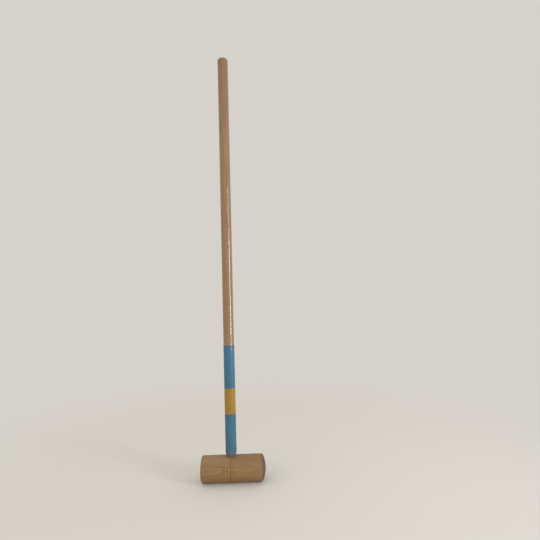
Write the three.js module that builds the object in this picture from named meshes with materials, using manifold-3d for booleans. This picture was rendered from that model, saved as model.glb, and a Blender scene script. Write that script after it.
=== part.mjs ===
// A croquet mallet of turned hardwood. The head is a solid cylinder with one flat and one domed striking
// face, a sight groove round it in line with the handle, and a blind socket in its crown. The handle is
// one long dowel. Its lower end narrows over a shoulder to a tenon, which is glued into the socket. Three
// coats of paint ring the handle above the head, and each coat is a thin sleeve that follows the wood
// under it.
//
// Lengths are millimetres. +Z runs up the handle and +X along the head, towards its domed face. The
// origin is the middle of the line on which the head stands, so the crown of the head is one head
// diameter above it, and the handle stands a little to the flat face's side.

import * as THREE from "three";
import { mergeVertices } from "three/addons/utils/BufferGeometryUtils.js";
import Module from "manifold-3d";

const wasm = await Module();
wasm.setup();

// Driving dimensions of the whole mallet
const overallLength = 800;
const headLength = 118;
const headDiameter = 46.5;
const handleDiameter = 20;

// Head: one end is cut off flat and the other is turned to a shallow dome
const handleFromFlatFace = 54.5; // along the head, to the handle's axis and the sight groove
const flatEdgeRadius = 2.6;
const domeRadius = 50; // of the sphere that the dome is a part of
const domeEdgeRadius = 5;
const grooveWidth = 1.3; // across the mouth of the sight groove
const grooveDepth = 0.7;

// Handle: shoulder and tenon at its lower end, eased butt at its upper end
const shoulderLength = 4.6; // height of the cone between the tenon and the full dowel
const shoulderDepth = 2.4; // how much the radius drops over it
const shoulderEdgeRadius = 1.4;
const neckLength = 0.7; // bare tenon between the crown of the head and the cone
const tenonTip = 1; // chamfer that leads the tenon in
const buttRadius = 4;

// Socket in the head, and the glue in it
const woodUnderSocket = 15; // left between the socket's floor and the underside of the head
const glueThickness = 0.25;
const glueSetback = 0.6; // from the lowest edge of the socket's mouth down to the glue
const glueClearance = 0.05; // between the glue and the wood on either side of it

// Paint: heights are measured from the crown of the head
const coatThickness = 0.15;
const coatClearance = 0.05; // between a coat and the wood under it
const coatSpacing = 0.1; // bare line between two coats that meet
const lowerCoatStart = 1.2; // just above the small end of the cone
const lowerCoatEnd = 77.5;
const middleCoatLength = 46.5;
const upperCoatLength = 79;

// How finely round forms are cut
const headSides = 72;
const handleSides = 48;
const arcSteps = 4;
const domeSteps = 9;
const buttArcSteps = 7;

// Sizes that follow from the ones above
const headRadius = headDiameter / 2;
const halfHead = headLength / 2;
const handlePlace = handleFromFlatFace - halfHead; // along X
const handleRadius = handleDiameter / 2;
const tenonRadius = handleRadius - shoulderDepth;
const shoulderBottom = neckLength;
const shoulderTop = neckLength + shoulderLength;
const shoulderSlope = shoulderDepth / shoulderLength;
const handleTop = overallLength - headDiameter;
const socketRadius = tenonRadius + glueThickness + 2 * glueClearance;
const socketDepth = headDiameter - woodUnderSocket;
const tenonLength = socketDepth - glueThickness - 2 * glueClearance;
const socketMouthDrop = headRadius - Math.sqrt(headRadius ** 2 - socketRadius ** 2);
const glueTop = -(socketMouthDrop + glueSetback);

// Finishes
const woodFinish = (colour, roughness) =>
  new THREE.MeshStandardMaterial({ color: colour, roughness, metalness: 0 });
const headWood = woodFinish(0x886a44, 0.5);
const handleWood = woodFinish(0x8f7052, 0.35);
const bluePaint = woodFinish(0x38657e, 0.4);
const yellowPaint = woodFinish(0x957025, 0.4);
const driedGlue = woodFinish(0xa38c58, 0.6);

// An outline with its corners eased. Each entry of the list is [radius, height, corner radius], and an
// eased corner becomes an arc that touches both edges. An arc never takes more than half of an edge.
function easedOutline(corners, steps = arcSteps) {
  const points = [];
  corners.forEach(([x, y, radius = 0], index) => {
    const corner = new THREE.Vector2(x, y);
    const before = corners[index - 1];
    const after = corners[index + 1];
    if (!radius || !before || !after) {
      points.push(corner);
      return;
    }
    const back = new THREE.Vector2(before[0], before[1]).sub(corner);
    const ahead = new THREE.Vector2(after[0], after[1]).sub(corner);
    const reach = Math.min(back.length(), ahead.length()) / 2;
    back.normalize();
    ahead.normalize();
    const halfAngle = Math.acos(THREE.MathUtils.clamp(back.dot(ahead), -1, 1)) / 2;
    const tangent = Math.min(radius / Math.tan(halfAngle), reach);
    const arcRadius = tangent * Math.tan(halfAngle);
    const centre = back.clone().add(ahead).normalize();
    centre.multiplyScalar(arcRadius / Math.sin(halfAngle)).add(corner);
    const from = back.clone().multiplyScalar(tangent).add(corner).sub(centre);
    const to = ahead.clone().multiplyScalar(tangent).add(corner).sub(centre);
    const turn = Math.atan2(from.cross(to), from.dot(to));
    for (let step = 0; step <= steps; step += 1) {
      const spoke = from.clone().rotateAround(new THREE.Vector2(), (turn * step) / steps);
      points.push(spoke.add(centre));
    }
  });
  return points;
}

// Points of an arc in an outline. Angles are measured from the height axis towards the radius axis.
function arcPoints(centre, radius, fromAngle, toAngle, steps) {
  return Array.from({ length: steps + 1 }, (_, step) => {
    const angle = THREE.MathUtils.lerp(fromAngle, toAngle, step / steps);
    return new THREE.Vector2(Math.sin(angle), Math.cos(angle)).multiplyScalar(radius).add(centre);
  });
}

// A body turned about the Z axis from an outline of [radius, height] points.
function turnedUpright(outline, sides) {
  return new THREE.LatheGeometry(outline, sides).rotateX(Math.PI / 2);
}

// A closed geometry as a solid that can be cut.
function solidOf(geometry) {
  const bare = geometry.clone();
  bare.deleteAttribute("normal");
  bare.deleteAttribute("uv");
  const merged = mergeVertices(bare);
  return new wasm.Manifold(
    new wasm.Mesh({
      numProp: 3,
      vertProperties: merged.attributes.position.array,
      triVerts: new Uint32Array(merged.index.array),
    }),
  );
}

// A cut solid as a geometry that can be drawn.
function geometryOf(solid) {
  const { vertProperties, triVerts } = solid.getMesh();
  const geometry = new THREE.BufferGeometry();
  geometry.setAttribute("position", new THREE.BufferAttribute(vertProperties, 3));
  geometry.setIndex(new THREE.BufferAttribute(triVerts, 1));
  geometry.computeVertexNormals();
  return geometry;
}

function named(name, geometry, material) {
  const mesh = new THREE.Mesh(geometry, material);
  mesh.name = name;
  return mesh;
}

// The outline of the domed end. Its eased edge touches both the side of the head and the dome.
function domeOutline() {
  const domeCentre = new THREE.Vector2(0, halfHead - domeRadius);
  const edgeInset = headRadius - domeEdgeRadius;
  const edgeDistance = domeRadius - domeEdgeRadius;
  const meetingAngle = Math.asin(edgeInset / edgeDistance);
  const edgeCentre = new THREE.Vector2(Math.sin(meetingAngle), Math.cos(meetingAngle))
    .multiplyScalar(edgeDistance)
    .add(domeCentre);
  const edge = arcPoints(edgeCentre, domeEdgeRadius, Math.PI / 2, meetingAngle, arcSteps);
  const dome = arcPoints(domeCentre, domeRadius, meetingAngle, 0, domeSteps);
  return [...edge, ...dome.slice(1)];
}

// The head is turned about its own long axis, from the flat face to the domed one, and the socket is
// bored into its crown afterwards. Its geometry is centred on its own middle.
function malletHead() {
  const halfGroove = grooveWidth / 2;
  const grooveBottom = headRadius - grooveDepth;
  const outline = easedOutline([
    [0, -halfHead],
    [headRadius, -halfHead, flatEdgeRadius],
    [headRadius, handlePlace - halfGroove],
    [grooveBottom, handlePlace],
    [headRadius, handlePlace + halfGroove],
  ]);
  outline.push(...domeOutline());
  const turned = new THREE.LatheGeometry(outline, headSides).rotateZ(-Math.PI / 2);
  const drill = turnedUpright(
    easedOutline([
      [0, headRadius - socketDepth],
      [socketRadius, headRadius - socketDepth],
      [socketRadius, headDiameter],
      [0, headDiameter],
    ]),
    handleSides,
  ).translate(handlePlace, 0, 0);
  const bored = solidOf(turned).subtract(solidOf(drill));
  return named("mallet_head", geometryOf(bored), headWood);
}

// The handle is one dowel from the end of its tenon to its butt. Height zero is the crown of the head.
function handleShaft() {
  const outline = [
    ...easedOutline([
      [0, -tenonLength],
      [tenonRadius - tenonTip, -tenonLength],
      [tenonRadius, tenonTip - tenonLength],
      [tenonRadius, shoulderBottom],
      [handleRadius, shoulderTop, shoulderEdgeRadius],
      [handleRadius, lowerCoatEnd],
    ]),
    ...easedOutline(
      [
        [handleRadius, lowerCoatEnd + middleCoatLength + upperCoatLength],
        [handleRadius, handleTop, buttRadius],
        [0, handleTop],
      ],
      buttArcSteps,
    ),
  ];
  return named("handle_shaft", turnedUpright(outline, handleSides), handleWood);
}

// The glue fills the socket round the tenon and under its end, like a thin cup.
function jointGlue() {
  const inner = tenonRadius + glueClearance;
  const outer = socketRadius - glueClearance;
  const floor = -tenonLength - glueClearance;
  const outline = easedOutline([
    [0, floor - glueThickness],
    [outer, floor - glueThickness],
    [outer, glueTop],
    [inner, glueTop],
    [inner, floor],
    [0, floor],
  ]);
  return named("joint_glue", turnedUpright(outline, handleSides), driedGlue);
}

// Radius of the handle, and of anything that lies a set distance off its wood, at a height.
const shoulderSecant = Math.hypot(1, shoulderSlope);
const coneRadiusAt = (height, offset) =>
  tenonRadius + (height - shoulderBottom) * shoulderSlope + offset * shoulderSecant;
const kneeHeight = (offset) =>
  shoulderTop + (offset * (1 - shoulderSecant)) / shoulderSlope;

// A coat of paint between two heights. The lowest coat also follows the cone of the shoulder.
function paintCoat(name, low, high, paint) {
  const inside = coatClearance;
  const outside = coatClearance + coatThickness;
  const side = (offset) => {
    const top = [handleRadius + offset, high];
    const onCone = low < kneeHeight(offset);
    const start = onCone ? coneRadiusAt(low, offset) : handleRadius + offset;
    const knee = [handleRadius + offset, kneeHeight(offset), shoulderEdgeRadius + offset];
    return easedOutline(onCone ? [[start, low], knee, top] : [[start, low], top]);
  };
  const outline = [...side(outside), ...side(inside).reverse()];
  outline.push(outline[0].clone());
  return named(name, turnedUpright(outline, handleSides), paint);
}

const middleStart = lowerCoatEnd;
const middleEnd = middleStart + middleCoatLength;
const upperEnd = middleEnd + upperCoatLength;

const head = malletHead();
head.position.z = headRadius;

const handle = new THREE.Group();
handle.position.set(handlePlace, 0, headDiameter);
handle.add(handleShaft());
handle.add(jointGlue());
handle.add(paintCoat("lower_blue_coat", lowerCoatStart, lowerCoatEnd - coatSpacing, bluePaint));
handle.add(paintCoat("middle_yellow_coat", middleStart, middleEnd - coatSpacing, yellowPaint));
handle.add(paintCoat("upper_blue_coat", middleEnd, upperEnd, bluePaint));

const mallet = new THREE.Group();
mallet.add(head);
mallet.add(handle);

export default mallet;
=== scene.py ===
# %% [markdown]
# # A croquet mallet of turned wood
#
# The mallet is a cylinder of light hardwood on the end of a long dowel. Three coats of satin paint ring
# the dowel just above the head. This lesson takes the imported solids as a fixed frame, which says where
# every piece lies and how big it is, and builds the finished surfaces on it: grain, varnish, paint, the
# knocks of play and the dirt in the groove. All lengths are metres, as Blender counts them.

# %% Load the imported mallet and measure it
import math

import bpy
from mathutils import Matrix, Vector


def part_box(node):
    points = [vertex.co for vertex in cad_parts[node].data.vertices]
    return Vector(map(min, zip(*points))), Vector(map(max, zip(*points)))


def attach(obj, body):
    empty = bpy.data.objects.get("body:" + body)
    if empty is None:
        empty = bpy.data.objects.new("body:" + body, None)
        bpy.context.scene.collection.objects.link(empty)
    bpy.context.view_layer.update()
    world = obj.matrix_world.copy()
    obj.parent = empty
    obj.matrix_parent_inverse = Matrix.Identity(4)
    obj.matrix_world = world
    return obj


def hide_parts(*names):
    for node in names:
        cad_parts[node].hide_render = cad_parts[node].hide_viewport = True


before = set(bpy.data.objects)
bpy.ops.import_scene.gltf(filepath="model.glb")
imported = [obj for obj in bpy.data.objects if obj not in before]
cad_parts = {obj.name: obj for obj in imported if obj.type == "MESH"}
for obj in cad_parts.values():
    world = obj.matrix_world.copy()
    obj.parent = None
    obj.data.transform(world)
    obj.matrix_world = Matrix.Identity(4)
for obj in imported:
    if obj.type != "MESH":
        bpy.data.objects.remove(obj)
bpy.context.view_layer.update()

MM = 0.001
BODY = "root"

head_low, head_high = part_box("mallet_head")
handle_low, handle_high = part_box("handle_shaft")
glue_low, glue_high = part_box("joint_glue")

flat_face = head_low.x
dome_tip = head_high.x
crown = head_high.z
head_radius = (head_high.z - head_low.z) / 2
handle_radius = (handle_high.x - handle_low.x) / 2
handle_place = (handle_high.x + handle_low.x) / 2
handle_top = handle_high.z
print("head:", round((dome_tip - flat_face) / MM), "by", round(2 * head_radius / MM, 1), "mm")
print("handle:", round(2 * handle_radius / MM), "mm across, at X =", round(handle_place / MM, 1), "mm")

# %% [markdown]
# ## Small helpers for node trees
#
# Materials and Geometry Nodes are both trees of nodes. Python can build them with three steps: add a
# node, set the values of its inputs, and link the outputs that feed it. The helpers below do the three
# steps in one call, and take a plain value, a node or one of a node's outputs for any input.

# %% Helpers that add and feed nodes
FLOAT = "NodeSocketFloat"
VECTOR = "NodeSocketVector"
ORIGIN = (0.0, 0.0, 0.0)
CLOUD_SPAN = (0.3, 0.7)  # most values of a noise lie between these two


def feed(tree, socket, value):
    """Gives an input either a link or a plain value. A node stands for its first output."""
    if isinstance(value, bpy.types.Node):
        value = value.outputs[0]
    if isinstance(value, bpy.types.NodeSocket):
        tree.links.new(value, socket)
    elif value is not None:
        socket.default_value = value


def add(tree, kind, inputs=None, **settings):
    """Adds a node, sets its settings, and feeds the inputs that are named."""
    made = tree.nodes.new(kind)
    for name, value in settings.items():
        setattr(made, name, value)
    for key, value in (inputs or {}).items():
        feed(tree, made.inputs[key], value)
    return made


def calc(tree, operation, *values):
    """A Math node, as the output that it gives."""
    return add(tree, "ShaderNodeMath", dict(enumerate(values)), operation=operation).outputs[0]


def plus(tree, first, second):
    """A sum."""
    return calc(tree, "ADD", first, second)


def minus(tree, first, second):
    """A difference."""
    return calc(tree, "SUBTRACT", first, second)


def times(tree, *values):
    """A product of two or more values."""
    product = values[0]
    for value in values[1:]:
        product = calc(tree, "MULTIPLY", product, value)
    return product


def total(tree, base, *parts):
    """A value plus a share of each mask. Each part is a pair of a mask and its share."""
    for mask, share in parts:
        base = plus(tree, base, times(tree, mask, share))
    return base


def vector_calc(tree, operation, *values):
    """A Vector Math node, as the output that it gives."""
    made = add(tree, "ShaderNodeVectorMath", dict(enumerate(values)), operation=operation)
    return made.outputs["Value" if operation in ("LENGTH", "DISTANCE") else "Vector"]


def scaled(tree, vector, factor):
    """A vector with its length multiplied."""
    inputs = {0: vector, "Scale": factor}
    return add(tree, "ShaderNodeVectorMath", inputs, operation="SCALE").outputs["Vector"]


def distance(tree, point, centre, stretch=(1.0, 1.0, 1.0)):
    """How far a point is from a centre, counted more or less in each direction."""
    apart = vector_calc(tree, "SUBTRACT", point, centre)
    return vector_calc(tree, "LENGTH", vector_calc(tree, "MULTIPLY", apart, stretch))


def split(tree, vector):
    """The X, Y and Z of a vector, by name."""
    return add(tree, "ShaderNodeSeparateXYZ", {0: vector}).outputs


def joined(tree, x=0.0, y=0.0, z=0.0):
    """A vector made of its X, Y and Z."""
    return add(tree, "ShaderNodeCombineXYZ", {0: x, 1: y, 2: z}).outputs[0]


def rise(tree, value, low, high, start=0.0, end=1.0):
    """A value that goes smoothly from start to end while the input goes from low to high."""
    made = add(
        tree,
        "ShaderNodeMapRange",
        {"Value": value, "From Min": low, "From Max": high, "To Min": start, "To Max": end},
        interpolation_type="SMOOTHSTEP",
    )
    return made.outputs["Result"]


def cloud(tree, point, scale, detail=2.0, roughness=0.5, seed=0.0, output="Fac"):
    """A Noise Texture that a seed moves through its fourth dimension. A scale of three numbers, one for
    each direction, draws the noise out into streaks."""
    if isinstance(scale, tuple):
        point = vector_calc(tree, "MULTIPLY", point, scale)
        scale = 1.0
    made = add(
        tree,
        "ShaderNodeTexNoise",
        {"Vector": point, "Scale": scale, "Detail": detail, "Roughness": roughness, "W": seed},
        noise_dimensions="4D",
    )
    return made.outputs[output]


def blend(tree, factor, first, second, mode="MIX"):
    """A colour mix. Inputs 6 and 7 and output 2 of the node are its sockets for colours."""
    inputs = {0: factor, 6: first, 7: second}
    return add(tree, "ShaderNodeMix", inputs, data_type="RGBA", blend_type=mode).outputs[2]


def colour(text):
    """A colour written as on a paint card, in hexadecimal, as the linear values that nodes use."""
    shares = [int(text[i : i + 2], 16) / 255 for i in (0, 2, 4)]
    return tuple(s / 12.92 if s <= 0.04045 else ((s + 0.055) / 1.055) ** 2.4 for s in shares) + (1.0,)


def overlaid(tree, under, mask, text, share=1.0):
    """A colour with another from the paint card over it, as strong as a mask times a share."""
    return blend(tree, times(tree, mask, share), under, colour(text))


def group_of(kind, name, inputs, outputs):
    """An empty node group with its named sockets, and its input and output nodes."""
    tree = bpy.data.node_groups.new(name, kind)
    for label, (socket_type, default) in inputs.items():
        made = tree.interface.new_socket(label, in_out="INPUT", socket_type=socket_type)
        if default is not None:
            made.default_value = default
    for label, socket_type in outputs.items():
        tree.interface.new_socket(label, in_out="OUTPUT", socket_type=socket_type)
    return tree, tree.nodes.new("NodeGroupInput").outputs, tree.nodes.new("NodeGroupOutput").inputs


def tell(tree):
    """Prints how many nodes a tree has."""
    print(tree.name, "has", len(tree.nodes), "nodes")


def emptied(block):
    """The node tree of a material or a world, with nothing in it."""
    block.use_nodes = True
    block.node_tree.nodes.clear()
    return block.node_tree


def new_object(name, data):
    """An object of the scene, made from its data."""
    made = bpy.data.objects.new(name, data)
    bpy.context.scene.collection.objects.link(made)
    return made


print("helpers ready")

# %% [markdown]
# ## The camera
#
# The mallet leans back in the photograph, while the part stands upright in its own frame. So the camera
# leans instead: it stands in front of the mallet and a little to its right, and looks up by about three
# degrees, which shows the same outline. Its three axes are written out and made a rotation.

# %% Place the camera
CAMERA_PLACE = Vector((64.9, -739.3, 353.4)) * MM
CAMERA_RIGHT = Vector((1.0, -0.0146, -0.0272))
CAMERA_FORWARD = Vector((0.0159, 0.9997, 0.047))
LENS = 26.0
SENSOR = 36.0
NEAREST = 0.01

camera_data = bpy.data.cameras.new("camera")
camera_data.lens = LENS
camera_data.sensor_width = SENSOR
camera_data.clip_start = NEAREST
camera = new_object("camera", camera_data)

backward = -CAMERA_FORWARD.normalized()
sideways = (CAMERA_RIGHT - CAMERA_RIGHT.project(backward)).normalized()
upward = backward.cross(sideways)
turned = Matrix((sideways, upward, backward)).transposed().to_4x4()
camera.matrix_world = Matrix.Translation(CAMERA_PLACE) @ turned
bpy.context.scene.camera = camera
print("camera", round(CAMERA_PLACE.length, 3), "m from the foot of the mallet")

# %% [markdown]
# ## Floor and light
#
# A pale floor carries the mallet's shadow and fades into a pale background, so that no edge of it shows
# from any side. The light is soft and even: it comes from the world all round, and from one wide lamp at
# the left front. A narrow upright lamp at the right front stands for the window that draws the bright
# line down the varnish. Its upper pane is dimmer, as through a curtain. The bright pane reaches down to
# the floor, so its mirror image ends just below the upper edge of the paint. The wide lamp isn't
# mirrored, because its image would lay a grey band over the left third of the varnished handle.

# %% Make the floor, the background and the lamps
BACKDROP = colour("d6d2cb")
FLOOR = colour("dad6ce")
FLOOR_SIZE = 8.0
FADE_START = 0.25
FADE_END = 0.9
WORLD_LIGHT = (1.0, 0.985, 0.96, 1.0)
WORLD_STRENGTH = 0.80

scene = bpy.context.scene
scene.view_settings.view_transform = "Standard"

world = bpy.data.worlds.new("soft light")
tree = emptied(world)
rays = add(tree, "ShaderNodeLightPath").outputs
seen = calc(tree, "MAXIMUM", rays["Is Camera Ray"], rays["Is Glossy Ray"])
seen = calc(tree, "MAXIMUM", seen, rays["Is Transmission Ray"])
light = add(tree, "ShaderNodeBackground", {"Color": WORLD_LIGHT, "Strength": WORLD_STRENGTH})
shown = add(tree, "ShaderNodeBackground", {"Color": BACKDROP})
both = add(tree, "ShaderNodeMixShader", {0: seen, 1: light, 2: shown})
add(tree, "ShaderNodeOutputWorld", {"Surface": both})
scene.world = world

half_floor = FLOOR_SIZE / 2
corners = [(half_floor * x, half_floor * y, 0.0) for x, y in ((-1, -1), (1, -1), (1, 1), (-1, 1))]
floor_mesh = bpy.data.meshes.new("floor")
floor_mesh.from_pydata(corners, [], [(0, 1, 2, 3)])
floor = new_object("floor", floor_mesh)

floor_material = bpy.data.materials.new("pale floor")
tree = emptied(floor_material)
spot = add(tree, "ShaderNodeTexCoord").outputs["Object"]
far = rise(tree, vector_calc(tree, "LENGTH", spot), FADE_START, FADE_END)
ground = add(tree, "ShaderNodeBsdfDiffuse", {"Color": FLOOR})
nothing = add(tree, "ShaderNodeBsdfTransparent")
faded = add(tree, "ShaderNodeMixShader", {0: far, 1: ground, 2: nothing})
add(tree, "ShaderNodeOutputMaterial", {"Surface": faded})
floor_mesh.materials.append(floor_material)


def lamp(name, place, target, width, height, power, tint, mirrored=True):
    """A rectangular lamp, turned towards a target. It can be kept out of mirror images."""
    data = bpy.data.lights.new(name, "AREA")
    data.shape = "RECTANGLE"
    data.size = width
    data.size_y = height
    data.energy = power
    data.color = tint
    made = new_object(name, data)
    made.location = place
    made.rotation_euler = (Vector(target) - Vector(place)).to_track_quat("-Z", "Y").to_euler()
    made.visible_glossy = mirrored


WARM = (1.0, 0.98, 0.95)
COOL = (0.95, 0.97, 1.0)
SIDE_PLACE = (-2.1, -1.7, 1.9)
middle = (handle_place, 0.0, handle_top / 2)
lamp("side light", SIDE_PLACE, middle, width=3.4, height=2.4, power=19.0, tint=WARM, mirrored=False)

# The line on the varnish lies 46% of the radius to the right of the handle's middle, seen from the
# camera. A mirror turns a ray by twice the angle, which gives the direction of the window.
LINE_SHARE = 0.46
WINDOW_AWAY = 1.6
WINDOW_WIDTH = 0.30
PANES = (  # name, heights of its lower and upper end, power
    ("bright pane", 0.0, 0.72, 11.65),
    ("dim pane", 0.74, 0.97, 1.7),
)
camera_side = math.atan2(CAMERA_PLACE.x - handle_place, -CAMERA_PLACE.y)
window_side = camera_side + 2 * math.asin(LINE_SHARE)
window_x = handle_place + WINDOW_AWAY * math.sin(window_side)
window_y = -WINDOW_AWAY * math.cos(window_side)
for name, low, high, power in PANES:
    level = (low + high) / 2
    pane_place = (window_x, window_y, level)
    lamp(name, pane_place, (handle_place, 0.0, level), WINDOW_WIDTH, high - low, power, COOL)
print("three lamps; the window stands", round(math.degrees(window_side)), "degrees to the right")

# %% [markdown]
# ## The figure of the wood
#
# A tree lays down a pale and a darker layer every year, in tubes round its pith. A board or a turned
# cylinder cuts through those tubes, and the cuts are what we call figure: long arches where the surface
# just grazes a ring, straight lines where it crosses the rings squarely, and arcs on the end grain. A
# flat picture can't show all three at once, so the rings are made solid. The group below measures how
# far each point lies from a leaning, wandering pith, and counts rings outwards from it. A small branch
# pushes the rings outwards round its knot, and the late layers can fade along the piece. Head and handle
# share the group with values of their own. The grain runs along X in it.

# %% Group: yearly rings and a small knot
DRIFT_SCALE = (9.0, 34.0, 34.0)
ACROSS_GRAIN = (0.0, 1.0, 1.0)
KNOT_STRETCH = (0.7, 0.35, 1.0)
KNOT_CORE = 0.25  # share of the knot's radius that is dark right through
LATE_START = 0.25  # shares of a ring's width: late wood darkens slowly and ends at once
LATE_FULL = 0.9
LATE_END = 0.93
PALEST_YEAR = 0.45

rings_group, given, gives = group_of(
    "ShaderNodeTree",
    "yearly rings",
    {
        "Point": (VECTOR, None),
        "Pith": (VECTOR, ORIGIN),
        "Lean": (VECTOR, ORIGIN),
        "Ring Width": (FLOAT, 0.0025),
        "Wander": (FLOAT, 0.002),
        "Knot Place": (VECTOR, ORIGIN),
        "Knot Radius": (FLOAT, 0.001),
        "Fade Start": (FLOAT, 0.0),
        "Fade End": (FLOAT, 1.0),
        "Fade To": (FLOAT, 1.0),
        "Seed": (FLOAT, 0.0),
    },
    {"Late Wood": FLOAT, "Knot": FLOAT},
)
tree = rings_group
point = given["Point"]
along = split(tree, point)["X"]
drift = cloud(tree, point, DRIFT_SCALE, detail=3.0, roughness=0.45, seed=given["Seed"], output="Color")
drift = scaled(tree, vector_calc(tree, "SUBTRACT", drift, (0.5, 0.5, 0.5)), given["Wander"])
pith = vector_calc(tree, "ADD", given["Pith"], scaled(tree, given["Lean"], along))
reach = distance(tree, vector_calc(tree, "ADD", point, drift), pith, ACROSS_GRAIN)

from_knot = distance(tree, point, given["Knot Place"], KNOT_STRETCH)
knot_share = calc(tree, "DIVIDE", from_knot, given["Knot Radius"])
steepness = calc(tree, "POWER", times(tree, knot_share, 0.5), 2.0)
bulge = calc(tree, "DIVIDE", given["Knot Radius"], plus(tree, 1.0, steepness))
reach = minus(tree, reach, bulge)

count = calc(tree, "DIVIDE", reach, given["Ring Width"])
share = calc(tree, "FRACT", count)
fade = rise(tree, along, given["Fade Start"], given["Fade End"], 1.0, given["Fade To"])
late = times(tree, rise(tree, share, LATE_START, LATE_FULL), rise(tree, share, 1.0, LATE_END), fade)
year = plus(tree, calc(tree, "FLOOR", count), given["Seed"])
tone = add(tree, "ShaderNodeTexWhiteNoise", {"W": year}, noise_dimensions="1D").outputs["Value"]
year_strength = total(tree, PALEST_YEAR, (tone, 1.0 - PALEST_YEAR))
feed(tree, gives["Late Wood"], times(tree, late, year_strength))
feed(tree, gives["Knot"], rise(tree, knot_share, 1.0, KNOT_CORE))
tell(rings_group)

# %% [markdown]
# ## Fibres, rays and pores
#
# Close to, wood is a bundle of fibres. Three fine patterns show that: streaks along the grain, the short
# dark dashes of the rays, and pores that end as dots on the end grain. All three are noise drawn out
# along X, each by its own amount.

# %% Group: fibres, rays and pores
COARSE_SCALE = (14.0, 420.0, 420.0)
FINE_SCALE = (60.0, 2600.0, 2600.0)
RAY_SCALE = (420.0, 2300.0, 2300.0)
PORE_SCALE = (260.0, 5200.0, 5200.0)
RAY_SPAN = (0.66, 0.74)  # a ray appears between these two values of its noise
PORE_SPAN = (0.68, 0.8)

fibre_group, given, gives = group_of(
    "ShaderNodeTree",
    "wood fibres",
    {"Point": (VECTOR, None), "Seed": (FLOAT, 0.0)},
    {"Streaks": FLOAT, "Rays": FLOAT, "Pores": FLOAT},
)
tree = fibre_group
point = given["Point"]
seed = given["Seed"]
coarse = cloud(tree, point, COARSE_SCALE, detail=3.0, roughness=0.6, seed=seed)
fine = cloud(tree, point, FINE_SCALE, seed=seed)
dashes = cloud(tree, point, RAY_SCALE, detail=0.0, seed=plus(tree, seed, 3.0))
holes = cloud(tree, point, PORE_SCALE, detail=0.0, seed=plus(tree, seed, 7.0))
feed(tree, gives["Streaks"], total(tree, 0.0, (coarse, 0.6), (fine, 0.4)))
feed(tree, gives["Rays"], rise(tree, dashes, *RAY_SPAN))
feed(tree, gives["Pores"], rise(tree, holes, *PORE_SPAN))
tell(fibre_group)

# %% [markdown]
# ## Scuffs and smudges
#
# Nothing that has been played with is evenly clean and glossy. Smudges are broad, soft patches where
# hands and grass dulled the finish. Scratches are thin, short lines in two directions. Wood and paint
# both use them, mostly for roughness and a little for colour.

# %% Group: scuffs and smudges
SMUDGE_SCALE = 45.0
SCRATCH_SCALE = (90.0, 900.0, 3600.0)
SCRATCH_AXIS = (0.25, 1.0, 0.15)
SCRATCH_TURNS = ((0.5, 11.0), (-0.9, 17.0))  # angle round the axis, and a step of the seed
SMUDGE_SPAN = (0.42, 0.68)
SCRATCH_SPAN = (0.71, 0.76)

scuff_group, given, gives = group_of(
    "ShaderNodeTree",
    "scuffs and smudges",
    {"Point": (VECTOR, None), "Seed": (FLOAT, 0.0)},
    {"Smudge": FLOAT, "Scratches": FLOAT},
)
tree = scuff_group
patches = cloud(tree, given["Point"], SMUDGE_SCALE, detail=4.0, roughness=0.55, seed=given["Seed"])
feed(tree, gives["Smudge"], rise(tree, patches, *SMUDGE_SPAN))
lines = []
for angle, seed_step in SCRATCH_TURNS:
    inputs = {"Vector": given["Point"], "Axis": SCRATCH_AXIS, "Angle": angle}
    turned = add(tree, "ShaderNodeVectorRotate", inputs)
    seed = plus(tree, given["Seed"], seed_step)
    thin = cloud(tree, turned, SCRATCH_SCALE, detail=1.0, roughness=0.4, seed=seed)
    lines.append(rise(tree, thin, *SCRATCH_SPAN))
feed(tree, gives["Scratches"], calc(tree, "MAXIMUM", *lines))
tell(scuff_group)

# %% [markdown]
# ## A varnished wood
#
# The head and the handle are the same kind of wood under the same clear varnish, so one function makes
# both materials. It mixes an early and a late wood colour by the rings, adds streaks, rays and pores,
# darkens the end grain, which drinks more varnish, and lets the two pieces add marks of their own
# before the shader is made. The varnish is the shader's coat: a clear, glossy layer over duller wood.

# %% Function: varnished wood
BROAD_SCALE = (8.0, 30.0, 30.0)
BROAD_SPAN = (0.35, 0.7)
END_GRAIN_SPAN = (0.45, 0.9)  # how squarely the surface cuts the grain


def use_group(tree, group, inputs):
    """Places a node group and returns its outputs."""
    return add(tree, "ShaderNodeGroup", inputs, node_tree=group).outputs


def add_shader(tree, inputs, height, bump_strength, bump_depth):
    """Ends a material's tree with a bump and a shader."""
    bump_inputs = {"Height": height, "Strength": bump_strength, "Distance": bump_depth}
    bump = add(tree, "ShaderNodeBump", bump_inputs)
    shader = add(tree, "ShaderNodeBsdfPrincipled", {"Normal": bump, **inputs})
    add(tree, "ShaderNodeOutputMaterial", {"Surface": shader})


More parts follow.
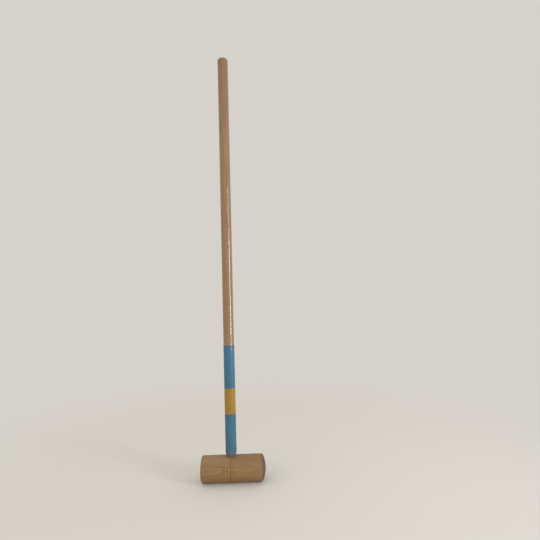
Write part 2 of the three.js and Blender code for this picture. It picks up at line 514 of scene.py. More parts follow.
def varnished_wood(name, colours, grain, rings, seed, marks, specular, coat_roughness, bump_depth):
    """A wood under clear varnish. grain says how to lay the grain along X, and marks is a function that
    adds the piece's own marks."""
    made = bpy.data.materials.new(name)
    tree = emptied(made)

    def to_grain(vector, move):
        """Turns a vector so that the grain runs along X, and moves it."""
        inputs = {"Vector": vector, "Location": move, "Rotation": grain["turn"]}
        return add(tree, "ShaderNodeMapping", inputs)

    coordinates = add(tree, "ShaderNodeTexCoord").outputs
    point = to_grain(coordinates["Object"], grain["move"])
    facing = split(tree, to_grain(coordinates["Normal"], ORIGIN))["X"]
    end_grain = rise(tree, calc(tree, "ABSOLUTE", facing), *END_GRAIN_SPAN)
    ring = use_group(tree, rings_group, {"Point": point, "Seed": seed, **rings})
    fibre = use_group(tree, fibre_group, {"Point": point, "Seed": seed})
    scuff = use_group(tree, scuff_group, {"Point": point, "Seed": seed})

    wood = blend(tree, ring["Late Wood"], colour(colours["early"]), colour(colours["late"]))
    broad = cloud(tree, point, BROAD_SCALE, seed=seed)
    wood = overlaid(tree, wood, rise(tree, broad, *BROAD_SPAN), colours["warm"], 0.55)
    streaks = rise(tree, fibre["Streaks"], *CLOUD_SPAN, -0.5, 0.5)
    shade = total(tree, 1.0, (streaks, 0.26), (fibre["Rays"], -0.2), (fibre["Pores"], -0.12))
    wood = blend(tree, 1.0, wood, joined(tree, shade, shade, shade), "MULTIPLY")
    wood = overlaid(tree, wood, ring["Knot"], colours["knot"])
    wood = blend(tree, end_grain, wood, colour(colours["end"]), "MULTIPLY")
    wood = overlaid(tree, wood, scuff["Scratches"], colours["late"], 0.25)

    roughness = total(tree, 0.5, (scuff["Smudge"], 0.14), (end_grain, 0.1))
    height = total(tree, 0.0, (fibre["Streaks"], 0.5), (fibre["Pores"], -0.5))
    height = total(tree, height, (ring["Late Wood"], -0.25), (scuff["Scratches"], -0.6))
    wood, roughness, varnish = marks(tree, point, end_grain, wood, roughness, scuff)
    inputs = {
        "Base Color": wood,
        "Roughness": roughness,
        "Specular IOR Level": specular,
        "Coat Weight": varnish,
        "Coat Roughness": coat_roughness,
        "Coat IOR": 1.55,
    }
    add_shader(tree, inputs, height, bump_strength=0.6, bump_depth=bump_depth)
    return made


print("wood function ready")

# %% [markdown]
# ## The head's own marks
#
# The figure of the head is a nest of long arches left of the sight groove, which fades to the right of it.
# Beside the groove sits a pin knot with a pale streak over it. The upper left of the head is painted paler,
# partly its own paler wood and partly painted light from above. The domed face is end grain, painted a
# darker grey-brown in patches, so it is the darkest part. The bottom of the groove is stained, and a dark
# band of painted shade with some grime lies on the crown round the handle. Each of these is a mask made
# from a point's place, counted from the head's axis under the handle.

# %% Material: head
DOME_RADIUS = 50.0 * MM
GROOVE_STAIN = 0.65 * MM
KNOT_PLACE = Vector((-5.8, -22.9, 3.9)) * MM
KNOT_RADIUS = 1.9 * MM
STREAK_START = Vector((-7.6, 5.9)) * MM
STREAK_END = Vector((8.6, 8.3)) * MM
STREAK_WIDTH = 0.9 * MM
STREAK_SPAN = (1.7, 0.5)
FRONT_START = -4.0 * MM
FRONT_FULL = -8.0 * MM
# Painted light, with some paler wood: where the upper left of the head is painted paler.
LIT_AND_PALE_LEVEL = 14.0 * MM
LIT_AND_PALE_BLEND = 5.0 * MM
LIT_AND_PALE_START = 4.0 * MM
LIT_AND_PALE_FULL = -8.0 * MM
RAGGED_DEPTH = 1.5 * MM
RAGGED_SCALE = 260.0
BRUISE_SCALE = 130.0
# Where the dome is painted darker.
DOME_DARK_START = 3.0 * MM
DOME_DARK_FULL = 1.7 * MM
WORN_SPAN = (0.4, 0.65)
# Where painted shade with some grime darkens the crown round the handle.
CROWN_START = 8.0 * MM
CROWN_FULL = 4.0 * MM
CROWN_BLEND = 2.0 * MM
FLATTENED = (1.0, 1.0, 0.0)
head_centre = Vector((handle_place, 0.0, head_radius))
dome_depth = DOME_RADIUS - math.sqrt(DOME_RADIUS**2 - head_radius**2)
dome_rim = dome_tip - handle_place - dome_depth


def head_marks(tree, point, end_grain, wood, roughness, scuff):
    """Groove stain, pale streak, painted light upper left, dark dome, painted shade and grime at the
    handle.
    """
    parts = split(tree, point)
    ragged = cloud(tree, point, RAGGED_SCALE, detail=3.0, roughness=0.6, seed=2.0)
    groove = rise(tree, calc(tree, "ABSOLUTE", parts["X"]), GROOVE_STAIN, GROOVE_STAIN / 3)
    wood = overlaid(tree, wood, groove, "6a4627", 0.15)

    middle = (STREAK_START + STREAK_END) / 2
    run = STREAK_END - STREAK_START
    from_middle = minus(tree, parts["X"], middle.x)
    off_line = total(tree, minus(tree, parts["Z"], middle.y), (from_middle, -run.y / run.x))
    flat = calc(tree, "POWER", calc(tree, "DIVIDE", off_line, STREAK_WIDTH), 2.0)
    long = calc(tree, "POWER", calc(tree, "DIVIDE", from_middle, run.x / 2), 2.0)
    pale = rise(tree, plus(tree, plus(tree, flat, long), ragged), *STREAK_SPAN)
    front = rise(tree, parts["Y"], FRONT_START, FRONT_FULL)
    wood = overlaid(tree, wood, times(tree, pale, front), "a98a5c", 0.6)

    # Painted light from above, with some paler wood of its own: the upper left is painted paler.
    upper = rise(tree, parts["Z"], LIT_AND_PALE_LEVEL, LIT_AND_PALE_LEVEL + LIT_AND_PALE_BLEND)
    left = rise(tree, parts["X"], LIT_AND_PALE_START, LIT_AND_PALE_FULL)
    wood = overlaid(tree, wood, times(tree, upper, left), "997d58", 0.45)

    # The dome is painted a darker grey-brown in patches.
    frayed = total(tree, parts["X"], (ragged, -RAGGED_DEPTH))
    dome = rise(tree, frayed, dome_rim - DOME_DARK_START, dome_rim - DOME_DARK_FULL)
    bruise = cloud(tree, point, BRUISE_SCALE, detail=4.0, roughness=0.6, seed=5.0)
    darker_dome = times(tree, dome, rise(tree, bruise, *CLOUD_SPAN, 0.55, 0.9))
    wood = overlaid(tree, wood, darker_dome, "5a4c3c")
    worn = times(tree, end_grain, rise(tree, bruise, *WORN_SPAN, 0.15, 0.55))
    wood = overlaid(tree, wood, times(tree, worn, minus(tree, 1.0, dome)), "6f6148")
    roughness = total(tree, roughness, (worn, 0.2))

    # Painted shade with some grime: a dark band on the crown round the handle.
    from_line = distance(tree, point, ORIGIN, FLATTENED)
    near_handle = rise(tree, from_line, handle_radius, handle_radius - CROWN_BLEND)
    on_crown = rise(tree, parts["Z"], head_radius - CROWN_START, head_radius - CROWN_FULL)
    wood = overlaid(tree, wood, times(tree, near_handle, on_crown), "4a3a2a", 0.2)
    bare = calc(tree, "MAXIMUM", end_grain, groove)
    return wood, roughness, total(tree, 0.15, (bare, -0.1))


head_wood = varnished_wood(
    "varnished head wood",
    colours={"early": "8e6f48", "late": "7a5b38", "warm": "876345", "knot": "573a21", "end": "d8d4cc"},
    grain={"move": -head_centre, "turn": ORIGIN},
    rings={
        "Pith": (0.0, 47.34 * MM, -10.62 * MM),
        "Lean": (0.0, -0.012, 0.0),
        "Ring Width": 1.15 * MM,
        "Wander": 0.7 * MM,
        "Knot Place": KNOT_PLACE,
        "Knot Radius": KNOT_RADIUS,
        "Fade Start": 2 * MM,
        "Fade End": 10 * MM,
        "Fade To": 0.35,
    },
    seed=4.0,
    marks=head_marks,
    specular=0.3,
    coat_roughness=0.35,
    bump_depth=0.10 * MM,
)
print("material", head_wood.name)

# %% [markdown]
# ## The handle's own marks
#
# The dowel is straight grained and a little pinker than the head. Its varnish is thicker and glossier, and
# years of hands have darkened the top. Just above the head it is painted darker, as painted shade in that
# corner with some grime. The grain runs along Z here, so the coordinates are turned by a quarter before
# the shared groups see them.

# %% Material: handle
GRIP_LENGTH = 150 * MM
# Height of the painted shade with grime just above the head.
NECK_SHADE_AND_GRIME_HEIGHT = 3.0 * MM
FLECK_SCALE = (55.0, 420.0, 420.0)
FLECK_SPAN = (0.66, 0.76)


def handle_marks(tree, point, end_grain, wood, roughness, scuff):
    """Darker wood under the hands, reddish flecks, and painted shade with grime at the neck."""
    level = split(tree, point)["X"]
    grip = rise(tree, level, handle_top - GRIP_LENGTH, handle_top)
    wood = overlaid(tree, wood, grip, "7d5b44", 0.5)
    flecks = cloud(tree, point, FLECK_SCALE, detail=1.0, seed=21.0)
    wood = overlaid(tree, wood, rise(tree, flecks, *FLECK_SPAN), "6c4330", 0.5)
    # Painted shade with some grime: the wood just above the crown is painted darker.
    neck_shade_and_grime = rise(tree, level, crown + NECK_SHADE_AND_GRIME_HEIGHT, crown)
    wood = overlaid(tree, wood, neck_shade_and_grime, "6a5c4e", 0.5)
    varnish = total(tree, 1.0, (scuff["Smudge"], -0.2), (end_grain, -0.4))
    return wood, roughness, varnish


handle_wood = varnished_wood(
    "varnished handle wood",
    colours={"early": "937455", "late": "7c5f45", "warm": "8d6b4e", "knot": "5c3d2a", "end": "b0a59a"},
    grain={"move": (0.0, 0.0, handle_place), "turn": (0.0, math.radians(90), 0.0)},
    rings={
        "Pith": (0.0, 52 * MM, 30 * MM),
        "Lean": (0.0, 0.02, -0.012),
        "Ring Width": 1.9 * MM,
        "Wander": 5 * MM,
        "Knot Place": (540 * MM, -handle_radius, 2 * MM),
        "Knot Radius": 1.0 * MM,
    },
    seed=9.0,
    marks=handle_marks,
    specular=0.1,
    coat_roughness=0.07,
    bump_depth=0.05 * MM,
)
print("material", handle_wood.name)

# %% [markdown]
# ## Satin paint
#
# The coats were brushed on while the dowel turned in a lathe, so the paint has very fine rings round the
# handle, a soft orange peel, and small chips where it ends. Towards the foot of the handle it is painted
# greyer, as painted shade in the corner by the head with some grime, and towards its top the blue is
# painted lighter and bluer, as painted light. A run of the handle's varnish ends in a drop on it, which
# catches the window's light. Each coat carries an attribute, the distance to its nearest edge, and the
# chips and the thin rim read it. Where a chip is through, the wood's colour shows and the surface drops.

# %% Materials: blue and yellow paint
THIN_EDGE = 0.6 * MM
CHIPPED_EDGE = 3.5 * MM
CHIPPED_FULL = 0.2 * MM
CHIP_LEVEL = 0.79
CHIP_RIM = 0.012
PATCH_SCALE = (60.0, 60.0, 24.0)
BRUSH_SCALE = (25.0, 25.0, 1800.0)
GRIT_SCALE = 420.0
PEEL_SCALE = 380.0
# Heights of the painted shade with grime at the foot, and of the painted light towards the top.
FOOT_SHADE_AND_GRIME_START = crown + 12.0 * MM
FOOT_SHADE_AND_GRIME_FULL = crown + 1.5 * MM
TOP_LIGHT_START = crown + 110.0 * MM
TOP_LIGHT_END = crown + 200.0 * MM
RUN_TURN = math.radians(33)
DROP_BELOW_EDGE = 6.8 * MM
DROP_SIZE = 0.8 * MM
run_x = handle_place + handle_radius * math.sin(RUN_TURN)
run_y = -handle_radius * math.cos(RUN_TURN)
drop_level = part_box("upper_blue_coat")[1].z - DROP_BELOW_EDGE
drop_place = Vector((run_x, run_y, drop_level))


def satin_paint(name, body, faded, top_light, thinned, seed):
    """A brushed satin paint, chipped at its edges, greyer at its foot with painted shade and grime, and
    with painted light towards its top.
    """
    made = bpy.data.materials.new(name)
    tree = emptied(made)
    point = add(tree, "ShaderNodeTexCoord").outputs["Object"]
    level = split(tree, point)["Z"]
    scuff = use_group(tree, scuff_group, {"Point": point, "Seed": seed})
    from_edge = add(tree, "ShaderNodeAttribute", attribute_name="from_edge").outputs["Fac"]
    near_edge = rise(tree, from_edge, CHIPPED_EDGE, CHIPPED_FULL)
    grit = cloud(tree, point, GRIT_SCALE, detail=3.0, roughness=0.6, seed=seed)
    need = total(tree, CHIP_LEVEL, (near_edge, -0.11))
    chip = rise(tree, minus(tree, grit, need), 0.0, CHIP_RIM)

    patch = cloud(tree, point, PATCH_SCALE, detail=3.0, seed=seed)
    paint = colour(body)
    for mask, text, share in (
        (rise(tree, patch, *CLOUD_SPAN), faded, 0.6),
        (scuff["Scratches"], faded, 0.3),
        (scuff["Smudge"], "4b4a45", 0.12),
        (rise(tree, from_edge, THIN_EDGE, 0.0), thinned, 0.3),
        # Painted light: lighter and bluer towards the top of the paint.
        (rise(tree, level, TOP_LIGHT_START, TOP_LIGHT_END), top_light, 0.8),
        # Painted shade with some grime: greyer towards the foot, by the head.
        (rise(tree, level, FOOT_SHADE_AND_GRIME_START, FOOT_SHADE_AND_GRIME_FULL), "6c6762", 0.85),
        (chip, "8a6b4c", 1.0),
    ):
        paint = overlaid(tree, paint, mask, text, share)

    brushed = cloud(tree, point, BRUSH_SCALE, seed=seed)
    peel = cloud(tree, point, PEEL_SCALE, seed=plus(tree, seed, 1.0))
    height = total(tree, 0.0, (brushed, 0.25), (peel, 0.35), (chip, -1.2), (scuff["Scratches"], -0.3))
    aside = distance(tree, point, drop_place, FLATTENED)
    beside = rise(tree, aside, 4 * DROP_SIZE, 2 * DROP_SIZE)
    run = times(tree, beside, rise(tree, level, drop_level - DROP_SIZE, drop_level))
    drop = rise(tree, distance(tree, point, drop_place), 2 * DROP_SIZE, DROP_SIZE)
    inputs = {
        "Base Color": paint,
        "Roughness": total(tree, 0.42, (scuff["Smudge"], 0.12), (chip, 0.25)),
        "Specular IOR Level": 0.3,
        "Coat Weight": total(tree, 0.1, (run, 0.15), (drop, 0.75), (chip, -0.1)),
        "Coat Roughness": total(tree, 0.22, (run, -0.15)),
    }
    add_shader(tree, inputs, height, bump_strength=0.5, bump_depth=0.08 * MM)
    return made


blue_paint = satin_paint(
    "blue satin paint", body="396479", faded="426e83", top_light="416a8b", thinned="5b8aa3", seed=31.0
)
yellow_paint = satin_paint(
    "yellow satin paint", body="987224", faded="a07c32", top_light="987224", thinned="b08e4a", seed=37.0
)
print("materials", blue_paint.name, "and", yellow_paint.name)

# %% [markdown]
# ## Dried glue
#
# Only a sliver of glue can be seen, deep in the gap between the tenon and the socket. It has dried to a
# cloudy amber, and its surface is lumpy.

# %% Material: dried glue
LUMP_SCALE = 600.0

glue_material = bpy.data.materials.new("dried glue")
tree = emptied(glue_material)
point = add(tree, "ShaderNodeTexCoord").outputs["Object"]
lumps = cloud(tree, point, LUMP_SCALE, detail=3.0, seed=41.0)
inputs = {
    "Base Color": overlaid(tree, colour("b79b62"), rise(tree, lumps, *CLOUD_SPAN), "94763f"),
    "Roughness": rise(tree, lumps, *CLOUD_SPAN, 0.35, 0.5),
}
add_shader(tree, inputs, lumps, bump_strength=0.5, bump_depth=0.1 * MM)
print("material", glue_material.name)

# %% [markdown]
# ## A lathe made of nodes
#
# Head, handle and coats are all turned: one outline, swept round an axis. A Geometry Nodes tree can be
# the lathe. It lays out a flat grid with one row for each point of the outline and one column for each
# step of the turn, and then wraps it: a point's row picks the radius and the height from the outline,
# and its column gives the angle. Merging closes the seam and the two poles. A slight unevenness pushes
# the surface in by up to a tenth of a millimetre, as hand sanding leaves it, so that reflections waver.

# %% Geometry Nodes tree: lathe
INTEGER = "NodeSocketInt"
MATERIAL = "NodeSocketMaterial"
MESH = "NodeSocketGeometry"
MERGE_DISTANCE = 0.0005 * MM


def mesh_tree(name, inputs):
    """A Geometry Nodes tree that takes a mesh and a material and gives a mesh."""
    sockets = {"Geometry": (MESH, None), **inputs, "Material": (MATERIAL, None)}
    return group_of("GeometryNodeTree", name, sockets, {"Geometry": MESH})


def close_tree(tree, given, gives, mesh):
    """Ends a Geometry Nodes tree: the mesh is made real and its material is set."""
    real = add(tree, "GeometryNodeRealizeInstances", {"Geometry": mesh})
    inputs = {"Geometry": real, "Material": given["Material"]}
    feed(tree, gives["Geometry"], add(tree, "GeometryNodeSetMaterial", inputs))
    tell(tree)


def place_of(tree):
    """The place of each vertex."""
    return add(tree, "GeometryNodeInputPosition")


def place_at(tree, mesh, index):
    """The place of one point of another mesh."""
    inputs = {"Geometry": mesh, "Value": place_of(tree), "Index": index}
    return add(tree, "GeometryNodeSampleIndex", inputs, data_type="FLOAT_VECTOR").outputs["Value"]


lathe, given, gives = mesh_tree(
    "lathe",
    {
        "Sides": (INTEGER, 96),
        "Turn": (VECTOR, ORIGIN),
        "Centre": (VECTOR, ORIGIN),
        "Unevenness": (FLOAT, 0.0),
        "Wave Scale": (FLOAT, 60.0),
    },
)
tree = lathe
size = add(tree, "GeometryNodeAttributeDomainSize", {"Geometry": given["Geometry"]})
rows = size.outputs["Point Count"]
columns = plus(tree, given["Sides"], 1.0)
inputs = {"Vertices X": rows, "Vertices Y": columns, "Size X": 1.0, "Size Y": 1.0}
grid = add(tree, "GeometryNodeMeshGrid", inputs)
spot = split(tree, place_of(tree))
row = calc(tree, "ROUND", times(tree, plus(tree, spot["X"], 0.5), minus(tree, rows, 1.0)))
angle = times(tree, plus(tree, spot["Y"], 0.5), 2 * math.pi)
picked = split(tree, place_at(tree, given["Geometry"], row))
picked_x = times(tree, picked["X"], calc(tree, "COSINE", angle))
picked_y = times(tree, picked["X"], calc(tree, "SINE", angle))
wrapped = joined(tree, picked_x, picked_y, picked["Z"])
turned = add(tree, "GeometryNodeSetPosition", {"Geometry": grid, "Position": wrapped})
outward = add(tree, "GeometryNodeFlipFaces", {"Mesh": turned})
closed = add(tree, "GeometryNodeMergeByDistance", {"Geometry": outward, "Distance": MERGE_DISTANCE})
inputs = {"Geometry": closed, "Rotation": given["Turn"], "Translation": given["Centre"]}
placed = add(tree, "GeometryNodeTransform", inputs)
waves = cloud(tree, place_of(tree), given["Wave Scale"])
normal = add(tree, "GeometryNodeInputNormal")
push = scaled(tree, normal, times(tree, waves, given["Unevenness"], -1.0))
sanded = add(tree, "GeometryNodeSetPosition", {"Geometry": placed, "Offset": push})
close_tree(tree, given, gives, add(tree, "GeometryNodeSetShadeSmooth", {"Geometry": sanded}))

# %% [markdown]
# ## Knocks
#
# Every strike and every drop leaves a shallow dent. The tree below scatters points over the chosen part
# of the surface, and lets each vertex look for its nearest point. The closer it is, the further it sinks,
# with a soft rim. One tree serves the striking faces and the sides, with different sizes and amounts.

# %% Geometry Nodes tree: knocks
END_FACING = 0.6
SMALLEST_SHARE = 0.35

knocks, given, gives = mesh_tree(
    "knocks",
    {
        "On Ends": ("NodeSocketBool", True),
        "Density": (FLOAT, 4000.0),
        "Dent Radius": (FLOAT, 0.003),
        "Dent Depth": (FLOAT, 0.0002),
        "Seed": (INTEGER, 1),
    },
)
tree = knocks
normal = add(tree, "GeometryNodeInputNormal")
along_axis = calc(tree, "ABSOLUTE", split(tree, normal)["X"])
on_end = add(tree, "FunctionNodeCompare", {0: along_axis, 1: END_FACING}, operation="GREATER_THAN")
chosen = add(tree, "FunctionNodeBooleanMath", {0: on_end, 1: given["On Ends"]}, operation="XNOR")
scattered = add(
    tree,
    "GeometryNodeDistributePointsOnFaces",
    {"Mesh": given["Geometry"], "Selection": chosen, "Density": given["Density"], "Seed": given["Seed"]},
)
position = place_of(tree)
nearest = add(tree, "GeometryNodeSampleNearest", {"Geometry": scattered, "Sample Position": position})
inputs = {"Min": SMALLEST_SHARE, "Max": 1.0, "ID": nearest, "Seed": given["Seed"]}
size_share = add(tree, "FunctionNodeRandomValue", inputs).outputs["Value"]
dent_radius = times(tree, given["Dent Radius"], size_share)
away = vector_calc(tree, "DISTANCE", position, place_at(tree, scattered, nearest))
bowl = rise(tree, calc(tree, "DIVIDE", away, dent_radius), 1.0, 0.0)
push = scaled(tree, normal, times(tree, bowl, size_share, given["Dent Depth"], -1.0))
dented = add(tree, "GeometryNodeSetPosition", {"Geometry": given["Geometry"], "Offset": push})
close_tree(tree, given, gives, dented)

# %% [markdown]
# ## Edges of paint
#
# A painted edge is never a perfect circle: tape lifts a little and the brush wavers. This tree shifts the
# vertices near either end of a coat up and down by a slow noise round the handle. Two coats that meet
# read the same noise, so that they keep meeting. It also stores how far each vertex is from an edge.

# %% Geometry Nodes tree: paint edges
EDGE_REACH = 2.5 * MM
EDGE_STEP = 4 * MM  # edges in the same step of height read the same noise
WAVE_SCALE = 110.0

inputs = {"Low Edge": (FLOAT, 0.0), "High Edge": (FLOAT, 0.1), "Edge Wander": (FLOAT, 0.0002)}
paint_edges, given, gives = mesh_tree("paint edges", inputs)
tree = paint_edges
parts = split(tree, place_of(tree))
shifts = []
for edge, sign in ((given["Low Edge"], 1.0), (given["High Edge"], -1.0)):
    inside = times(tree, minus(tree, parts["Z"], edge), sign)
    weight = rise(tree, inside, EDGE_REACH, 0.0)
    place = joined(tree, parts["X"], parts["Y"], calc(tree, "SNAP", edge, EDGE_STEP))
    wave = minus(tree, cloud(tree, place, WAVE_SCALE), 0.5)
    shifts.append(times(tree, wave, given["Edge Wander"], weight))
shift = times(tree, plus(tree, *shifts), 2.0)
inputs = {"Geometry": given["Geometry"], "Offset": joined(tree, z=shift)}
moved = add(tree, "GeometryNodeSetPosition", inputs)
above_low = minus(tree, parts["Z"], given["Low Edge"])
below_high = minus(tree, given["High Edge"], parts["Z"])
to_edge = calc(tree, "MINIMUM", above_low, below_high)
inputs = {"Geometry": moved, "Name": "from_edge", "Value": to_edge}
stored = add(tree, "GeometryNodeStoreNamedAttribute", inputs)
close_tree(tree, given, gives, stored)

# %% [markdown]
# ## From outline to piece
#
# An outline is a list of corners, each with a radius, a height and a rounding. The first helpers round
# the corners with arcs and put extra points on the long straight runs, so that the dents have vertices
# to move. The others run the trees on it as modifiers and bake the result into a plain mesh, which has
# no modifier left.

# %% Helpers: outlines and pieces
ARC_STEPS = 8
SHARP_ANGLE = math.radians(38)


def eased(corners):
    """Rounds the corners of an outline with arcs."""
    path = []
    for index, (radius, height, rounding) in enumerate(corners):
        corner = Vector((radius, height))
        if not rounding:
            path.append(corner)
            continue
        back = Vector(corners[index - 1][:2]) - corner
        ahead = Vector(corners[index + 1][:2]) - corner
        room = min(back.length, ahead.length) / 2
        back.normalize()
        ahead.normalize()
        half_angle = back.angle(ahead) / 2
        tangent = min(rounding / math.tan(half_angle), room)
        arc_radius = tangent * math.tan(half_angle)
        centre = corner + (back + ahead).normalized() * (arc_radius / math.sin(half_angle))
        start = corner + back * tangent - centre
        end = corner + ahead * tangent - centre
        turn = math.atan2(start.x * end.y - start.y * end.x, start.dot(end))
        turns = [turn * i / ARC_STEPS for i in range(ARC_STEPS + 1)]
        path += [centre + Matrix.Rotation(step, 2) @ start for step in turns]
    return path


def arc(centre, radius, start, end, steps):
    """Points of an arc. Its angles are measured from the axis of the turning."""
    turns = [start + (end - start) * i / steps for i in range(steps + 1)]
    return [centre + Vector((math.sin(turn), math.cos(turn))) * radius for turn in turns]


def filled(path, step):
    """Puts a point at least every step along a path."""
    points = [path[0]]
    for start, end in zip(path, path[1:]):
        pieces = max(1, math.ceil((end - start).length / step))
        points += [start.lerp(end, i / pieces) for i in range(1, pieces + 1)]
    return points


def outline_object(name, outline):
    """A mesh that is only a chain of edges: X is the radius and Z the height."""
    mesh = bpy.data.meshes.new(name)
    points = [(max(p.x, 0.0), 0.0, p.y) for p in outline]
    mesh.from_pydata(points, [(i, i + 1) for i in range(len(points) - 1)], [])
    return new_object(name, mesh)


def run_tree(obj, tree, values):
    """Adds a Geometry Nodes modifier and sets its inputs by their identifiers."""
    modifier = obj.modifiers.new(tree.name, "NODES")
    modifier.node_group = tree
    for item in tree.interface.items_tree:
        if item.in_out == "INPUT" and item.name in values:
            modifier[item.identifier] = values[item.name]


def bake(obj):
    """Replaces what the modifiers make of an object by a plain mesh, and removes the modifiers."""
    bpy.context.view_layer.update()
    graph = bpy.context.evaluated_depsgraph_get()
    made = obj.evaluated_get(graph)
    mesh = bpy.data.meshes.new_from_object(made, preserve_all_data_layers=True, depsgraph=graph)
    mesh.name = obj.name
    obj.modifiers.clear()
    obj.data = mesh
    mesh.set_sharp_from_angle(angle=SHARP_ANGLE)
    print(obj.name, "has", len(mesh.polygons), "faces")


print("helpers ready")

# %% [markdown]
# ## The head
#
# The head's outline runs from the middle of one striking face to the other: the flat face with its eased
# edge, the side, the V of the sight groove, the side again, and the dome. The dome is an arc of a large
# circle, and a small arc that touches both the dome and the side eases its rim. The lathe turns the outline
# round Z, and a quarter turn lays it along X.

# %% Make the head
HEAD_SIDES = 224
HEAD_STEP = 1.0 * MM
DOME_STEPS = 24
FLAT_EDGE_EASE = 2.6 * MM
DOME_EDGE_EASE = 5.0 * MM
GROOVE_WIDTH = 1.3 * MM
GROOVE_DEPTH = 0.7 * MM
GROOVE_EASE = 0.15 * MM
KNOCKS = (
    {"On Ends": True, "Density": 15000.0, "Dent Radius": 5.0 * MM, "Dent Depth": 0.22 * MM, "Seed": 3},
    {"On Ends": False, "Density": 2600.0, "Dent Radius": 3.0 * MM, "Dent Depth": 0.2 * MM, "Seed": 8},
)

half_groove = GROOVE_WIDTH / 2
corners = [
    (0.0, flat_face, 0.0),
    (head_radius, flat_face, FLAT_EDGE_EASE),
    (head_radius, handle_place - half_groove, GROOVE_EASE),
    (head_radius - GROOVE_DEPTH, handle_place, GROOVE_EASE),
    (head_radius, handle_place + half_groove, GROOVE_EASE),
    (head_radius, dome_tip - dome_depth - DOME_EDGE_EASE, 0.0),
]
side = eased(corners)
dome_centre = Vector((0.0, dome_tip - DOME_RADIUS))
edge_away = DOME_RADIUS - DOME_EDGE_EASE
meeting = math.asin((head_radius - DOME_EDGE_EASE) / edge_away)
edge_centre = dome_centre + Vector((math.sin(meeting), math.cos(meeting))) * edge_away
dome = arc(edge_centre, DOME_EDGE_EASE, math.pi / 2, meeting, ARC_STEPS)
dome += arc(dome_centre, DOME_RADIUS, meeting, 0.0, DOME_STEPS)[1:]
turned_head = outline_object("turned_head", filled(side + dome, HEAD_STEP))
values = {
    "Sides": HEAD_SIDES,
    "Turn": (0.0, math.radians(90), 0.0),
    "Centre": (0.0, 0.0, head_radius),
    "Unevenness": 0.10 * MM,
    "Wave Scale": 42.0,
    "Material": head_wood,
}
run_tree(turned_head, lathe, values)
for values in KNOCKS:
    run_tree(turned_head, knocks, {**values, "Material": head_wood})
bake(turned_head)

# %% [markdown]
# ## The socket
#
# The real socket is drilled. A dark disc could stand for its mouth, but a Boolean with a turned drill
# leaves a true gap round the tenon.

# %% Bore the socket
SOCKET_SIDES = 96
GLUE_GAP = 0.05 * MM
handle_line = (handle_place, 0.0, 0.0)
socket_radius = glue_high.x - handle_place + GLUE_GAP
socket_floor = glue_low.z - GLUE_GAP
drill_top = crown + head_radius
corners = ((0.0, socket_floor), (socket_radius, socket_floor), (socket_radius, drill_top), (0.0, drill_top))
drill = outline_object("drill", [Vector(corner) for corner in corners])
run_tree(drill, lathe, {"Sides": SOCKET_SIDES, "Centre": handle_line, "Material": head_wood})
bake(drill)
cut = turned_head.modifiers.new("socket", "BOOLEAN")
cut.operation = "DIFFERENCE"
cut.solver = "EXACT"
cut.object = drill
bake(turned_head)
bpy.data.objects.remove(drill)

# %% [markdown]
# ## The handle
#
# The handle is one outline too: the tenon with its lead-in chamfer, the short cone of the shoulder, the
# long dowel, and the butt with its eased edge.

# %% Make the handle
HANDLE_SIDES = 96
HANDLE_STEP = 3.0 * MM
SHOULDER_LENGTH = 4.6 * MM
SHOULDER_DEPTH = 2.4 * MM
SHOULDER_EASE = 1.4 * MM
NECK_LENGTH = 0.7 * MM
TENON_TIP = 1.0 * MM
BUTT_EASE = 4.0 * MM

tenon_radius = handle_radius - SHOULDER_DEPTH
shoulder_bottom = crown + NECK_LENGTH
shoulder_top = shoulder_bottom + SHOULDER_LENGTH
handle_outline = [
    (0.0, handle_low.z, 0.0),
    (tenon_radius - TENON_TIP, handle_low.z, 0.0),
    (tenon_radius, handle_low.z + TENON_TIP, 0.0),
    (tenon_radius, shoulder_bottom, 0.0),
    (handle_radius, shoulder_top, SHOULDER_EASE),
    (handle_radius, handle_top, BUTT_EASE),
    (0.0, handle_top, 0.0),
]
turned_handle = outline_object("turned_handle", filled(eased(handle_outline), HANDLE_STEP))
values = {
    "Sides": HANDLE_SIDES,
    "Centre": handle_line,
    "Unevenness": 0.03 * MM,
    "Wave Scale": 30.0,
    "Material": handle_wood,
}
run_tree(turned_handle, lathe, values)
bake(turned_handle)

# %% [markdown]
# ## The coats of paint
#
# Each coat is a thin sleeve. Its section is a closed loop: out along the surface with a slightly raised
# bead at each edge, where the brush stopped, and back along the inside. The lowest coat runs down over
# the cone of the shoulder, so its section has a knee there.

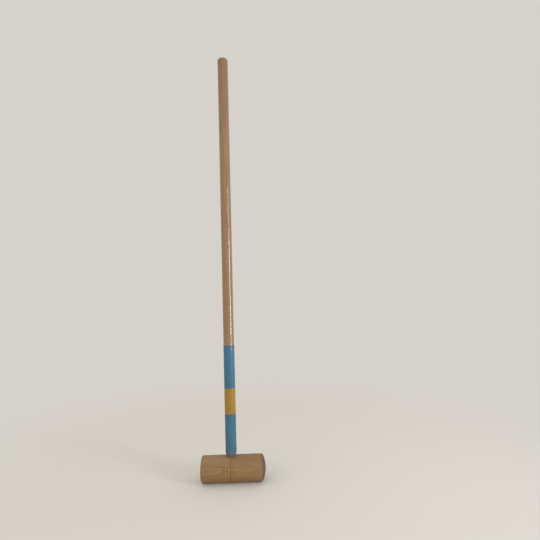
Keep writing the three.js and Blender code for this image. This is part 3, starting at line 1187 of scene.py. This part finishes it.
# %% Make the coats
COAT_SIDES = 96
COAT_STEP = 1.5 * MM
BEAD_HEIGHT = 0.05 * MM
BEAD_WIDTH = 0.6 * MM
COAT_EASE = 0.05 * MM
EDGE_WANDER = 0.3 * MM
GAP_SHARE = 0.25  # how much of a coat's height over the wood is gap
slope = SHOULDER_DEPTH / SHOULDER_LENGTH
secant = math.hypot(1.0, slope)


def surface_radius(height, offset):
    """Radius of the line that lies a distance off the handle's wood, at a height."""
    cone = tenon_radius + (height - shoulder_bottom) * slope + offset * secant
    return min(cone, handle_radius + offset)


def make_coat(name, node, material):
    """A coat of paint that stands for one CAD sleeve."""
    low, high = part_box(node)
    outside = high.x - handle_place - handle_radius
    inside = GAP_SHARE * outside
    bead = outside + BEAD_HEIGHT
    knee = shoulder_top + outside * (1 - secant) / slope
    knees = [knee] if low.z < knee else []
    loop = [
        (low.z, inside + COAT_EASE),
        (low.z + BEAD_WIDTH / 2, bead),
        (low.z + 2 * BEAD_WIDTH, outside),
        *((height, outside) for height in knees),
        (high.z - 2 * BEAD_WIDTH, outside),
        (high.z - BEAD_WIDTH / 2, bead),
        (high.z, inside + COAT_EASE),
        *((height, inside) for height in (high.z, *knees, low.z)),
        (low.z, inside + COAT_EASE),
    ]
    corners = [(surface_radius(height, offset), height, 0.0) for height, offset in loop]
    sleeve = outline_object(name, filled(eased(corners), COAT_STEP))
    run_tree(sleeve, lathe, {"Sides": COAT_SIDES, "Centre": handle_line, "Material": material})
    values = {"Low Edge": low.z, "High Edge": high.z, "Edge Wander": EDGE_WANDER, "Material": material}
    run_tree(sleeve, paint_edges, values)
    bake(sleeve)
    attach(sleeve, BODY)
    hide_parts(node)


make_coat("blue_coat_low", "lower_blue_coat", blue_paint)
make_coat("yellow_coat", "middle_yellow_coat", yellow_paint)
make_coat("blue_coat_high", "upper_blue_coat", blue_paint)

# %% [markdown]
# ## Hand over
#
# The fine head and handle now take the places of their plain solids, and the glue keeps its solid and
# only gets a finish.

# %% Tie the pieces to the frame and finish
for piece, node, slot_name in (
    (turned_head, "mallet_head", "head_wood"),
    (turned_handle, "handle_shaft", "handle_wood"),
):
    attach(piece, BODY)
    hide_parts(node)

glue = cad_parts["joint_glue"]
glue.data.materials.clear()
glue.data.materials.append(glue_material)
